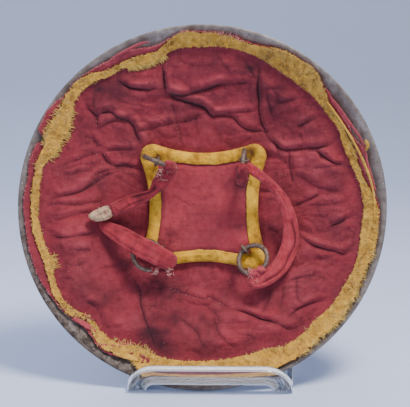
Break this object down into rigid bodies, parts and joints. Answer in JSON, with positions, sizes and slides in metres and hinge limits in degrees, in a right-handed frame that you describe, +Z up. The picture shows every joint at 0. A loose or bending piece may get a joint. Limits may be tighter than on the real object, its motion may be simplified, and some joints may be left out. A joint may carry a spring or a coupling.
{
  "type": "dhal shield",
  "caption": "Round domed steel shield seen from its quilted red lining, with knuckle pad, grip rings and cloth straps, leaning on a clear bent stand.",
  "frame": {"origin": "On the floor, under the middle of the part's box", "axes": "+X to the right across the shield as seen from its lined side, +Y from the lined side back towards the domed side and the stand's rear foot, +Z up"},
  "size_m": [0.37, 0.1756, 0.3552],
  "materials": {
    "aged_steel": "dull hand-beaten steel with rust stains",
    "forged_iron": "worn brown-grey iron wire",
    "red_cotton": "faded quilted red cotton, soiled",
    "red_strap_cotton": "faded red cotton over wadding",
    "yellow_ribbon": "frayed yellow ribbon",
    "yellow_binding": "folded yellow cloth, soiled",
    "raw_cotton": "loose cream cotton wadding",
    "clear_acrylic": "clear polished sheet, bent"
  },
  "bodies": {
    "root": {"steel_bowl": "aged_steel", "boss_upper_left": "aged_steel", "boss_upper_right": "aged_steel", "boss_lower_right": "aged_steel", "boss_lower_left": "aged_steel", "quilted_lining": "red_cotton", "knuckle_pad": "red_cotton", "edge_ribbon": "yellow_ribbon", "pad_binding": "yellow_binding", "grip_ring_upper_left": "forged_iron", "grip_ring_upper_right": "forged_iron", "grip_ring_lower_right": "forged_iron", "grip_ring_lower_left": "forged_iron", "ring_eye_upper_left": "forged_iron", "ring_eye_upper_right": "forged_iron", "ring_eye_lower_right": "forged_iron", "ring_eye_lower_left": "forged_iron", "grip_strap_right": "red_strap_cotton", "grip_strap_left_upper": "red_strap_cotton", "grip_strap_left_lower": "red_strap_cotton", "grip_strap_left_stuffing": "raw_cotton", "display_stand": "clear_acrylic"}
  },
  "joints": []
}
